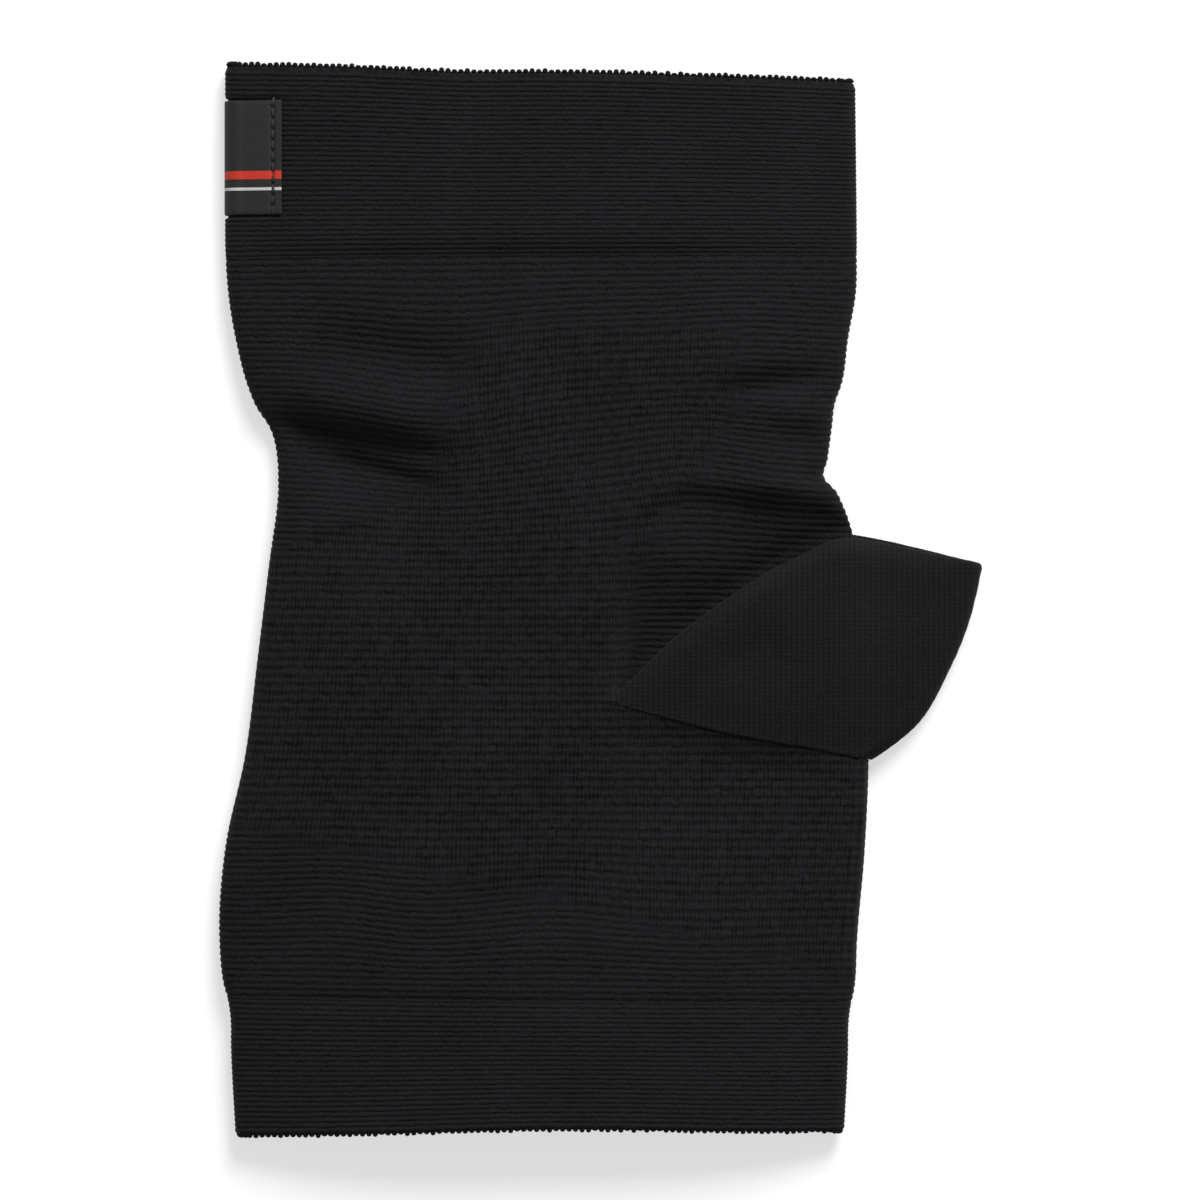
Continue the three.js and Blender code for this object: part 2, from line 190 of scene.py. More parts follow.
# The tuck-stitch mesh: its left and right limits by distance down, its upper limit, the line below which the
# ribs return, and how softly it begins
MESH_ZONE = [
    (44.0, -20.0, 23.0),
    (58.0, -25.0, 24.0),
    (72.0, -29.0, 16.0),
    (81.0, -48.0, 9.0),
    (88.0, -75.0, 6.0),
    (108.0, -75.0, 6.0),
    (113.0, -75.0, 75.0),
]
MESH_TOP = 45.0
MESH_FOOT = [(-65.0, 129.0), (-8.0, 142.5), (46.0, 156.5)]
MESH_BLUR = 2.4

# Heel pocket: its wall, the heights of its heel edge and crest, how late it and its folds fall to that edge,
# and how it comes down on the tube along its crease
POCKET_WALL = 1.8
POCKET_EDGE_HEIGHT = 5.0
POCKET_CREST = 10.8
POCKET_FALL_POWER = 2.2
POCKET_FOLD_POWER = 8
POCKET_JOIN = 10.0
POCKET_JOIN_POWER = 1.3

# Its columns over the top, round the heel edge and below, its rows and the share of its length they cover
POCKET_COLUMNS = (360, 10, 130)
POCKET_ROWS = 64
POCKET_ROW_SHARE = (-0.012, 0.96)
CREASE_STEPS = 60

# Its four edges in plan
POCKET_CREASE = [(3.3, -17.7), (21.0, -22.1), (38.1, -25.2), (44.0, -26.6)]
POCKET_RIM = [(2.8, -17.0), (13.2, -6.0), (25.9, 3.8), (33.7, 8.2), (40.3, 11.4), (47.5, 10.7), (62.9, 6.9)]
POCKET_GORE = [(3.3, -17.7), (2.8, -17.0)]
POCKET_HEEL = [(44.0, -26.6), (52.1, -20.1), (57.4, -10.8), (60.7, -2.5), (62.9, 6.9)]

# Its fall along the rim towards the gore and the heel, where that changes and how wide it is, then the
# crease's height above the tube at both ends and its rounding
POCKET_RIM_FALL = (1.6, 2.4)
POCKET_RIM_FALL_SHARE = (0.45, 0.7)
POCKET_RIM_FALL_WIDTH = 2.2
POCKET_LIP = (0.15, 0.35)
POCKET_CREASE_ROUND = 0.35

# Folds of the pocket's upper side, as those of the tube
POCKET_FOLDS = [
    (22.0, 104.8, 46.0, 13.0, 4.0, 14.0, -0.8),
    (25.5, 101.0, 30.0, 6.0, 3.0, 9.0, -0.7),
]

# The opening of the tube into the pocket: its stretch of the rim, its side of it and its distance there, how
# far it clears the crease, its outer corners, and its steps along the rim and the crease
OPENING_RIM_SHARE = (0.27, 0.02)
OPENING_RIM_SIDE = (0.7, -0.7)
OPENING_RIM_CLEAR = (0.8, 3.0)
OPENING_CREASE_CLEAR = 0.3
OPENING_CORNERS = [(70.0, -31.0), (70.0, 5.0)]
OPENING_STEPS = (8, 30)
CELLS_AT_POINT = 4

# Knit: the pitches of courses, bars and wales, how deep and round the courses are, how far they wander, and
# where the rows of points lie in a course
CUFF_COURSE = 0.87
BODY_COURSE = 1.08
MESH_COURSE = 1.44
MESH_BAR = 0.68
WALE = 1.1
HEEL_WALE = 0.9
HEEL_COURSE = 0.75
CUFF_DEPTH = 0.12
BODY_DEPTH = 0.16
HEEL_DEPTH = 0.07
MESH_DEPTH_SHARE = 0.5
COURSE_ROUNDNESS = 0.6
HALF_COURSE = 0.5
KNIT_WANDER = (0.35, 0.9)
CUFF_PHASES = (0.0, 0.14, 0.36, 0.64, 0.86)
BODY_PHASES = (0.0, 0.2, 0.5, 0.8)

# Loops along the rims, with half their width, height and depth
LOOP_SEED = 7
LOOP_HALF_SIZES = (0.5, 0.5, 0.85)
LOOP_SPREAD = 0.25
LOOP_SPREAD_LIMITS = (-2, 1)
LOOP_SET_BACK = 0.1
LOOP_DEPTH = 1.0
LOOP_STEP = 0.2

# Label: where it runs, its thickness, how the cuff gives way under it, the depth and reach of its hem, of its
# dent along the stitches and of its fall at both ends, and its steps round the cuff and along it
LABEL_FROM = 6.5
LABEL_TO = 25.9
LABEL_END = -53.7
LABEL_THICKNESS = 0.5
LABEL_SINK = 0.35
LABEL_PINCH = 0.55
LABEL_GAP = 0.12
LABEL_SEAT_MARGIN = 0.15
LABEL_SEAT_SLOPE = 0.6
LABEL_HEM = (0.25, 0.5)
LABEL_DENT = (0.3, 0.35)
LABEL_FALL = (0.12, 0.8)
LABEL_ROUND = 0.2
LABEL_UNDERSIDE = 1.0
LABEL_STEPS = (150, 80)

# Stitches, with their mean tilt and its spread in radians, and half their length, height and width
STITCH_SEED = 3
STITCH_X = -55.5
STITCH_PITCH = 1.85
STITCH_START = 0.7
STITCH_STOP = 0.3
STITCH_SINK = 0.05
STITCH_TILT = (0.12, 0.05)
STITCH_STRAY = 0.04
STITCH_HALF_SIZES = (0.82, 0.2, 0.22)

# Painted shade of the knit, which also gives its bump: how narrow its grooves are, how dark each kind is, and
# what
# # makes up its tone, where the height's share is painted shade in the grooves. A pair is a factor and what
# is added
LOOP_GROOVE = 2.0
WALE_GROOVE = 5.0
COURSE_GROOVE = 2.4
STREAK_STRETCH = 0.4
STREAK_DARK = (3.0, -0.6)
PLAIN_COURSE_DARK = 0.3
LOOP_DARK = 0.28
BAR_DARK = (0.9, 0.25)
BAR_LEVEL = 0.3
MESH_COURSE_DARK = 0.9
TONE_OF_FUZZ = 0.9
TONE_OF_PATCHES = 0.4
PAINTED_SHADE_OF_HEIGHT = 0.48
TONE_LEVEL = -0.4

# The label's weave: the pitches of its twill and weft, the weft's height, and its bands, each with its limits
# down the label and its colour
LABEL_TWILL = 0.42
LABEL_WEFT = 0.3
LABEL_WEFT_HEIGHT = 0.6
LABEL_BANDS = [
    (12.0, 13.4, (0.5, 0.028, 0.014)),
    (14.8, 15.3, (0.5, 0.5, 0.49)),
]

# Colours, each as a dark and a light shade, mixed on the knits by painted groove shade and random tone
RIB_COLORS = ((0.002, 0.0021, 0.0024), (0.013, 0.0136, 0.0153))
HEEL_COLORS = ((0.002, 0.002, 0.002), (0.0125, 0.0125, 0.0125))
LABEL_COLORS = ((0.0076, 0.0076, 0.0073), (0.0194, 0.0194, 0.0186))
THREAD_COLORS = ((0.012, 0.012, 0.012), (0.04, 0.04, 0.04))
FLOOR_COLORS = ((0.42, 0.42, 0.42), (0.44, 0.44, 0.44))

# The floor's half width and its drop, the picture's width at the sleeve, and the camera's height
FLOOR_HALF = 3000.0
FLOOR_DROP = 0.05
PICTURE_WIDTH = 204.0
CAMERA_HEIGHT = 1300.0
SENSOR = 36.0


# Small mathematics

def smoothstep(value, low, high):
    share = np.clip((value - low) / (high - low), 0, 1)
    return share * share * (3 - 2 * share)


def lerp(a, b, share):
    return a + (b - a) * share


def curve_through(positions, values, at):
    """A smooth curve through a table's points, with slopes taken from their neighbours."""
    slopes = np.gradient(values, positions)
    i = np.clip(np.searchsorted(positions, at) - 1, 0, len(positions) - 2)
    step = positions[i + 1] - positions[i]
    t = np.clip((at - positions[i]) / step, 0, 1)
    rise = (1 + 2 * t) * (1 - t) ** 2 * values[i] + t * t * (3 - 2 * t) * values[i + 1]
    return rise + step * (t * (1 - t) ** 2 * slopes[i] - t * t * (1 - t) * slopes[i + 1])


def spline(points, at):
    """A curve through a few points in plan, at shares from 0 to 1."""
    points = np.array(points, float)
    last = len(points) - 1
    place = np.asarray(at, float) * last
    i = np.clip(np.floor(place).astype(int), 0, last - 1)
    t = (place - i)[..., None]
    before, start, end, after = [points[np.clip(i + k, 0, last)] for k in (-1, 0, 1, 2)]
    slope_start = (end - before) / 2
    slope_end = (after - start) / 2
    cubic = (2 * start - 2 * end + slope_start + slope_end) * t**3
    square = (-3 * start + 3 * end - 2 * slope_start - slope_end) * t**2
    return cubic + square + slope_start * t + start


def unit(vectors):
    return vectors / np.maximum(np.linalg.norm(vectors, axis=-1, keepdims=True), 1e-12)


def rounded_course(phase):
    """The height of a course across its width, from its groove at 0 to its crest at 1."""
    return np.abs(np.sin(np.pi * phase)) ** COURSE_ROUNDNESS


def lengths_along(line):
    """The distance along a line of points at each of them."""
    steps = np.linalg.norm(np.diff(line, axis=0), axis=1)
    return np.concatenate([[0], np.cumsum(steps)])


def points_along(line, lengths, at):
    """The points of a line at some distances along it."""
    return np.stack([np.interp(at, lengths, column) for column in line.T], axis=-1)


# Form of the flat tube

LEDGE = dict(zip(TUCK_LEDGE_COLUMNS, np.array(TUCK_LEDGE).T))


def outline(down):
    """Both side edges and the upper layer's height at mid width."""
    positions, *columns = np.array(SECTIONS).T
    left, right, crown = [curve_through(positions, column, down) for column in columns]
    return left - SIDE_PROUD, right + SIDE_PROUD, crown


def label_seat(down):
    """How much the cuff's edge gives way to the label, from 0 to 1."""
    near = LABEL_FROM - LABEL_SEAT_MARGIN
    far = LABEL_TO + LABEL_SEAT_MARGIN
    begins = smoothstep(down, near - LABEL_SEAT_SLOPE, near)
    return begins - smoothstep(down, far, far + LABEL_SEAT_SLOPE)


def label_leaf(x, down):
    """How much of a point lies under the label, from 0 to 1."""
    end = LABEL_END + LABEL_SEAT_MARGIN
    return label_seat(down) * (1 - smoothstep(x, end, end + LABEL_SEAT_SLOPE))


def along_ledge(x, column):
    return np.interp(x, LEDGE["x"], LEDGE[column])


def tuck(x, down):
    """How far a point lies in the hollow above the heel pocket, from 0 to 1."""
    below = down - along_ledge(x, "down")
    width = along_ledge(x, "width")
    begins = smoothstep(below / width, -0.5, 0.5)
    ends = smoothstep(crease_line(x) - (CALF_END - down), *TUCK_END)
    return smoothstep(x, *TUCK_SIDE) * np.maximum(begins - ends, 0)


def tuck_upper(x, down):
    """The height of the upper layer in the hollow, which falls from the ledge down to the pocket's rim."""
    from_rim = CALF_END - down - np.interp(x, *np.array(POCKET_RIM).T)
    ramp = TUCK_POCKET + along_ledge(x, "slope") * np.maximum(from_rim, 0)
    below_ledge = np.maximum(down - along_ledge(x, "down"), 0)
    shelf = along_ledge(x, "height") - along_ledge(x, "shelf") * below_ledge
    return -TUCK_ROUND * np.logaddexp(-ramp / TUCK_ROUND, -shelf / TUCK_ROUND)


def crease_line(x):
    """The heel crease's place along y."""
    crease = spline(POCKET_CREASE, np.linspace(0, 1, CREASE_STEPS))
    return np.interp(x, crease[:, 0], crease[:, 1])


def fold_height(x, down, folds):
    height = np.zeros(np.broadcast(x, down).shape)
    for middle_x, middle_down, heading, reach, above, below, rise in folds:
        turn = math.radians(heading)
        dx = x - middle_x
        dy = middle_down - down
        along = (dx * math.cos(turn) + dy * math.sin(turn)) / reach
        across = dy * math.cos(turn) - dx * math.sin(turn)
        across = across / np.where(across > 0, above, below)
        height = height + rise * np.exp(-(along**FOLD_END_POWER) - across**2)
    return height


def course_drift(x, down):
    drift = np.zeros(np.broadcast(x, down).shape)
    for middle_x, middle_down, reach_x, reach_down, shift in DRIFTS:
        dx = (x - middle_x) / reach_x
        dy = (down - middle_down) / reach_down
        drift = drift + shift * np.exp(-(dx**2) - dy**2)
    from_calf = smoothstep(down, CALF_SEAM[1], CALF_SEAM[1] + DRIFT_EASE)
    return drift * from_calf * (1 - smoothstep(down, FOOT_SEAM[0] - DRIFT_EASE, FOOT_SEAM[0]))


def rim_stray(x, down):
    """How far the cuffs' courses stray towards the foot: most at the rims, and not at all at the seams."""
    stray = 0
    for (middle, reach, shift), seam, rim in (
        (CALF_RIM_STRAY, CALF_SEAM, CALF_RIM),
        (FOOT_RIM_STRAY, FOOT_SEAM, FOOT_RIM),
    ):
        from_seam = smoothstep((down - seam[1]) / (rim[1] - seam[1]), 0, 1)
        stray = stray + shift * from_seam * np.exp(-(((x - middle) / reach) ** 2))
    return stray


def upper_height(x, down, left, right, crown):
    middle = (left + right) / 2
    half = (right - left - EDGE_HEIGHT) / 2
    share = np.minimum(np.abs(x - middle) / half, 1)
    height = EDGE_HEIGHT + (crown - EDGE_HEIGHT) * (1 - share**CROWN_POWER)
    height = lerp(height, np.minimum(height, tuck_upper(x, down)), tuck(x, down))
    folds = fold_height(x, down, FOLDS) * (1 - FOLD_LOSS * share**FOLD_POWER)
    height = height + folds - LABEL_SINK * label_leaf(x, down)
    return np.maximum(height, TUCK_LOWER + TUCK_LEAST)


def lower_height(x, down):
    under_label = (LABEL_THICKNESS + LABEL_GAP) * label_leaf(x, down)
    return TUCK_LOWER * tuck(x, down) + under_label


def mesh_share(x, down):
    """How much of a point lies in the tuck-stitch mesh, from 0 to 1."""
    positions, *limits = np.array(MESH_ZONE).T
    left, right = [np.interp(down, positions, limit) for limit in limits]
    foot = np.interp(x, *np.array(MESH_FOOT).T)
    share = 1.0
    for value, limit in ((x, left), (-x, -right), (down, MESH_TOP), (-down, -foot)):
        share = share * smoothstep(value, limit - MESH_BLUR, limit + MESH_BLUR)
    return share


# Grids of points

class Ring:
    """The columns of one turn round the tube: along the lower layer, round the right edge, back along the
    upper layer and round the left edge."""

    def __init__(self, lower, arc, upper):
        arc_share = np.arange(1, arc) / arc
        flat_low = np.linspace(0, 1, lower + 1)
        flat_up = np.linspace(1, 0, upper + 1)
        rest = np.zeros(arc - 1)
        self.share = np.concatenate([flat_low, rest, flat_up, rest])
        self.turn = np.pi * np.concatenate([flat_low * 0, arc_share - 0.5, flat_up * 0, arc_share + 0.5])
        counts = (lower + 1, arc - 1, upper + 1, arc - 1)
        self.layer = np.repeat((-1, 0, 1, 0), counts)
        self.side = np.repeat((0, 1, 0, -1), counts)

    def points(self, left_down, right_down):
        """The outside of the tube along lines across it, as rows of points."""
        left, right, crown = outline((left_down + right_down) / 2)
        left = left + LABEL_PINCH * label_seat(left_down)

        def down_at(x):
            level = lerp(left_down, right_down, (x - left) / (right - left))
            return level + course_drift(x, level) + rim_stray(x, level)

        def upper_at(x):
            return upper_height(x, down_at(x), left, right, crown)

        def lower_at(x):
            return lower_height(x, down_at(x))

        left_radius = (upper_at(left) - lower_at(left)) / 2
        right_radius = (upper_at(right) - lower_at(right)) / 2
        flat_from = left + left_radius
        flat_to = right - right_radius
        at_left = (flat_from - WALE_SPAN[0]) * (1 - self.share) ** WALE_EDGE_POWER
        at_right = (flat_to - WALE_SPAN[1]) * self.share**WALE_EDGE_POWER
        x = lerp(*WALE_SPAN, self.share) + at_left + at_right
        z = np.where(self.layer > 0, upper_at(x), lower_at(x))
        arcs = [(-1, left, left_radius, flat_from), (1, right, right_radius, flat_to)]
        for side, edge, radius, middle in arcs:
            x = np.where(self.side == side, middle + radius * np.cos(self.turn), x)
            z = np.where(self.side == side, lower_at(edge) + radius * (1 + np.sin(self.turn)), z)
        return np.stack([x, CALF_END - down_at(x), z], axis=-1)


def normals_of(points, is_ring):
    if is_ring:
        across = np.roll(points, -1, axis=1) - np.roll(points, 1, axis=1)
    else:
        across = np.gradient(points, axis=1)
    return unit(np.cross(across, np.gradient(points, axis=0)))


def course_rows(start, end, pitch, phases):
    """The courses of a stretch, numbered, each with its groove, flanks and crest."""
    count = round((end[0] - start[0]) / pitch)
    rows = [course + phase for course in range(count) for phase in phases]
    return np.array(rows + [count], float)


class Wall:
    """A closed wall of cloth with rounded rims, from a grid of outside points, its normals and its relief.
    The rows run round from the outside over the far rim, back along the inside and over the near rim."""

    ROLL = 4
    ROLL_COURSES = 0.5
    INNER_RELIEF = 0.6

    def __init__(self, points, normals, relief, wall, is_ring, u, v, near_round=1.0, far_round=1.0):
        outer = points + normals * relief[..., None]
        inner = points - normals * (wall + self.INNER_RELIEF * relief[..., None])
        far = self.rim(outer[-1], inner[-1], points[-1] - points[-2], far_round)
        near = self.rim(inner[0], outer[0], points[0] - points[1], near_round)
        self.rows = len(points)
        self.columns = points.shape[1]
        self.is_ring = is_ring
        self.grid = np.concatenate([outer, far, inner[::-1], near])
        self.grid[..., 2] = np.maximum(self.grid[..., 2], 0)
        roll_v = self.ROLL_COURSES * (np.arange(self.ROLL) + 1) / (self.ROLL + 1)
        self.v = np.concatenate([v, v[-1] + roll_v, v[::-1], v[0] - roll_v[::-1]])
        self.u = np.broadcast_to(u, (self.columns + 1,))
        self.removed = np.zeros((self.rows - 1, self.columns), bool)

    def rim(self, start, end, outward, roundness):
        """Rows of points round a rim, from one face of the wall to the other."""
        middle = (start + end) / 2
        arm = start - middle
        radius = np.linalg.norm(arm, axis=-1, keepdims=True)
        away = unit(outward - unit(arm) * np.sum(outward * unit(arm), axis=-1, keepdims=True))
        away = away * radius * roundness
        turns = np.pi * (np.arange(self.ROLL) + 1) / (self.ROLL + 1)
        return np.stack([middle + arm * math.cos(turn) + away * math.sin(turn) for turn in turns])

    def outside(self, row, column):
        return row * self.columns + column % self.columns

    def inside(self, row, column):
        return (2 * self.rows + self.ROLL - 1 - row) * self.columns + column % self.columns

    def faces(self):
        """Quads as rows of four corners, each corner a point and its place in the knit."""
        loops = len(self.grid)
        spans = self.columns if self.is_ring else self.columns - 1
        row, column = [a.ravel() for a in np.meshgrid(np.arange(loops), np.arange(spans), indexing="ij")]
        following = (row + 1) % loops
        corners = [(row, column), (row, column + 1), (following, column + 1), (following, column)]
        quads = np.stack([self.outside(r, c) for r, c in corners], axis=-1)
        places = np.stack([np.stack([self.u[c], self.v[r]], axis=-1) for r, c in corners], axis=1)
        kept = np.ones((loops, spans), bool)
        kept[: self.rows - 1] = ~self.removed[:, :spans]
        inner_from = self.rows + self.ROLL
        kept[inner_from : inner_from + self.rows - 1] = ~self.removed[::-1, :spans]
        kept = kept.ravel()
        walls = np.concatenate(self.opening_edges() + ([] if self.is_ring else self.side_edges()))
        wall_row, wall_column = np.divmod(walls, self.columns)
        wall_places = np.stack([self.u[wall_column], self.v[wall_row]], axis=-1)
        return np.concatenate([quads[kept], walls]), np.concatenate([places[kept], wall_places])

    def opening_edges(self):
        """Quads that close the wall round the cells that were removed."""
        edges = []
        gone = self.removed
        before = np.roll(gone, 1, axis=1)
        for mask, start, end in ((gone & ~before, 1, 0), (~gone & before, 0, 1)):
            row, column = np.nonzero(mask)
            edges.append(self.wall_between((row + start, column), (row + end, column)))
        above = gone[:-1]
        below = gone[1:]
        for mask, start, end in ((below & ~above, 0, 1), (~below & above, 1, 0)):
            row, column = np.nonzero(mask)
            edges.append(self.wall_between((row + 1, column + start), (row + 1, column + end)))
        return edges

    def side_edges(self):
        """Quads that close the two sides of a strip that isn't a ring."""
        row = np.arange(self.rows - 1)
        last = self.columns - 1
        sides = [self.wall_between((row, 0), (row + 1, 0)), self.wall_between((row + 1, last), (row, last))]
        loops = len(self.grid)
        halves = range(self.ROLL // 2 + 1)
        far_rim = [(self.rows - 1 + k, self.rows + self.ROLL - k) for k in halves]
        near_rim = [(loops - self.ROLL - 1 + k, (loops - k) % loops) for k in halves]
        for pairs in (far_rim, near_rim):
            for (a, d), (b, c) in zip(pairs, pairs[1:]):
                for column, order in ((0, 1), (last, -1)):
                    quad = [r * self.columns + column for r in (a, b, c, d)]
                    sides.append(np.array([quad[::order]]))
        return sides

    def wall_between(self, a, b):
        """Quads through the wall's thickness between two places, each a row and a column."""
        return np.stack([self.outside(*a), self.outside(*b), self.inside(*b), self.inside(*a)], axis=-1)


# Meshes

def add_object(name, data):
    made = bpy.data.objects.new(name, data)
    bpy.context.collection.objects.link(made)
    return made


def mesh_object(name, points, quads, material, places=None, zones=None):
    points = points.reshape(-1, 3)
    used, quads = np.unique(quads, return_inverse=True)
    quads = quads.reshape(-1, 4)
    mesh = bpy.data.meshes.new(name)
    mesh.vertices.add(len(used))
    mesh.vertices.foreach_set("co", (points[used] * MM).ravel())
    mesh.loops.add(quads.size)
    mesh.loops.foreach_set("vertex_index", quads.ravel().astype(np.int32))
    mesh.polygons.add(len(quads))
    mesh.polygons.foreach_set("loop_start", np.arange(len(quads), dtype=np.int32) * 4)
    mesh.update(calc_edges=True)
    if places is not None:
        layer = mesh.uv_layers.new(name=KNIT_LAYER)
        layer.data.foreach_set("uv", places.astype(np.float32).ravel())
    if zones is not None:
        layer = mesh.attributes.new(MESH_LAYER, "FLOAT", "POINT")
        layer.data.foreach_set("value", zones[used].astype(np.float32))
    mesh.validate()
    mesh.shade_smooth()
    mesh.materials.append(material)
    return add_object(name, mesh)


def ring_wales(points, pitch):
    """The wale number at each column of a ring, a whole number of wales in all."""
    row = points[len(points) // 2]
    along = lengths_along(np.vstack([row, row[:1]]))
    return along / along[-1] * round(along[-1] / pitch)


def tube_rows(start, end, courses):
    share = (courses / courses[-1])[:, None]
    return lerp(start[0], end[0], share), lerp(start[1], end[1], share)


def seam_dip(courses, pitch, near, far):
    """How far the cloth dips towards the seams at the ends of a stretch."""
    from_near = courses * pitch
    from_far = (courses[-1] - courses) * pitch
    return near[0] * np.exp(-((from_near / near[1]) ** 2)) + far[0] * np.exp(-((from_far / far[1]) ** 2))


def dip_share(points):
    """How much of a seam's dip a point takes, which is little at the side folds and underneath."""
    return lerp(DIP_AT_SIDES, 1.0, smoothstep(points[..., 2], *DIP_SIDE_HEIGHT))


def cuff(name, start, end, seam_is_far, material):
    courses = course_rows(start, end, CUFF_COURSE, CUFF_PHASES)
    points = Ring(*CUFF_RING).points(*tube_rows(start, end, courses))
    relief = CUFF_DEPTH * (rounded_course(courses) - 1)
    dips = (DIP_NONE, DIP_CALF_CUFF) if seam_is_far else (DIP_FOOT_CUFF, DIP_NONE)
    relief = relief[:, None] - seam_dip(courses, CUFF_COURSE, *dips)[:, None] * dip_share(points)
    rounds = (CALF_RIM_ROUND, SEAM_ROUND) if seam_is_far else (SEAM_ROUND, FOOT_RIM_ROUND)
    normals = normals_of(points, True)
    wall = Wall(points, normals, relief, CUFF_WALL, True, ring_wales(points, WALE), courses, *rounds)
    quads, places = wall.faces()
    return mesh_object(name, wall.grid, quads, material, places)


def shifted(line, by):
    return tuple(down + by for down in line)


def in_polygon(x, y, polygon):
    inside = np.zeros(x.shape, bool)
    for (ax, ay), (bx, by) in zip(polygon, np.roll(polygon, -1, axis=0)):
        crosses = (ay > y) != (by > y)
        with np.errstate(divide="ignore", invalid="ignore"):
            at = ax + (y - ay) * (bx - ax) / (by - ay)
        inside ^= crosses & (x < at)
    return inside


def nearest_on(polygon, x, y):
    """The nearest points on a closed outline."""
    a = np.array(polygon)
    step = np.roll(a, -1, axis=0) - a
    p = np.stack([x, y], axis=-1)[:, None]
    share = np.clip(np.sum((p - a) * step, axis=-1) / np.sum(step * step, axis=-1), 0, 1)
    near = a + share[..., None] * step
    best = np.argmin(np.linalg.norm(near - p, axis=-1), axis=1)
    return near[np.arange(len(x)), best]


def heel_opening():
    """The outline in plan of the opening from the tube into the heel pocket."""
    rim_steps, crease_steps = OPENING_STEPS
    share = np.linspace(*OPENING_RIM_SHARE, rim_steps)
    clear = lerp(*OPENING_RIM_CLEAR, share / OPENING_RIM_SHARE[0])
    beside = spline(POCKET_RIM, share) + np.array(OPENING_RIM_SIDE) * clear[:, None]
    crease = spline(POCKET_CREASE, np.linspace(0, 1, crease_steps)) - np.array([0, OPENING_CREASE_CLEAR])
    return np.concatenate([beside, crease, np.array(OPENING_CORNERS)])


def cut_opening(points):
    """Finds the grid's cells in the heel's opening, and moves their border onto its outline."""
    opening = heel_opening()
    middle = (points[:-1] + points[1:]) / 2
    middle = (middle + np.roll(middle, -1, axis=1)) / 2
    removed = in_polygon(middle[..., 0], middle[..., 1], opening)
    touching = np.zeros(points.shape[:2], int)
    for rows in (slice(0, -1), slice(1, None)):
        touching[rows] += removed
        touching[rows] += np.roll(removed, 1, axis=1)
    border = (touching > 0) & (touching < CELLS_AT_POINT)
    border[[0, -1]] = False
    points[border, :2] = nearest_on(opening, points[border, 0], points[border, 1])
    return removed


def ankle_body(material):
    inset = SEAM_GAP / 2 + SEAM_ROUND * BODY_WALL / 2
    start = shifted(CALF_SEAM, inset)
    end = shifted(FOOT_SEAM, -inset)
    courses = course_rows(start, end, BODY_COURSE, BODY_PHASES)
    knit = courses + HALF_COURSE
    points = Ring(*BODY_RING).points(*tube_rows(start, end, courses))
    normals = normals_of(points, True)
    wales = ring_wales(points, WALE)
    removed = cut_opening(points)
    zone = mesh_share(points[..., 0], CALF_END - points[..., 1])
    ribs = rounded_course(knit) - 1
    tucks = MESH_DEPTH_SHARE * (rounded_course(knit * BODY_COURSE / MESH_COURSE) - 1)
    relief = BODY_DEPTH * lerp(ribs[:, None], tucks[:, None], zone)
    dips = seam_dip(courses, BODY_COURSE, DIP_BODY_CALF, DIP_BODY_FOOT)
    relief = relief - dips[:, None] * dip_share(points)
    wall = Wall(points, normals, relief, BODY_WALL, True, wales, knit, SEAM_ROUND, SEAM_ROUND)
    wall.removed = removed
    quads, places = wall.faces()
    rim_zone = np.zeros((wall.ROLL, wall.columns))
    zones = np.concatenate([zone, rim_zone, zone[::-1], rim_zone]).ravel()
    return mesh_object("ankle_body_knit", wall.grid, quads, material, places, zones)


def pocket_plan(along, across):
    """Places in plan between the pocket's four edges."""
    crease = spline(POCKET_CREASE, across)
    rim = spline(POCKET_RIM, across)
    gore = spline(POCKET_GORE, along)
    heel = spline(POCKET_HEEL, along)
    along = along[..., None]
    across = across[..., None]
    low = lerp(np.array(POCKET_CREASE[0]), np.array(POCKET_CREASE[-1]), across)
    high = lerp(np.array(POCKET_RIM[0]), np.array(POCKET_RIM[-1]), across)
    return lerp(crease, rim, along) + lerp(gore, heel, across) - lerp(low, high, along)


def pocket_height(plan, near):
    """The height of the pocket's upper side, from the tube at the crease to the rim and the heel edge."""
    x = plan[..., 0]
    y = plan[..., 1]
    height = POCKET_EDGE_HEIGHT + (POCKET_CREST - POCKET_EDGE_HEIGHT) * (1 - near**POCKET_FALL_POWER)
    to_rim = np.linalg.norm(plan - spline(POCKET_RIM, near), axis=-1)
    rim_fall = lerp(*POCKET_RIM_FALL, smoothstep(near, *POCKET_RIM_FALL_SHARE))
    rim_fall = rim_fall * np.exp(-((to_rim / POCKET_RIM_FALL_WIDTH) ** 2))
    shaping = fold_height(x, CALF_END - y, POCKET_FOLDS) - rim_fall
    height = height + shaping * (1 - near**POCKET_FOLD_POWER)
    crease = spline(POCKET_CREASE, near)
    crease_down = CALF_END - crease[..., 1]
    on_tube = upper_height(crease[..., 0], crease_down, *outline(crease_down)) + lerp(*POCKET_LIP, near)
    above_crease = np.maximum(y - crease_line(x), 0)
    return lerp(height, on_tube, np.exp(-((above_crease / POCKET_JOIN) ** POCKET_JOIN_POWER)))


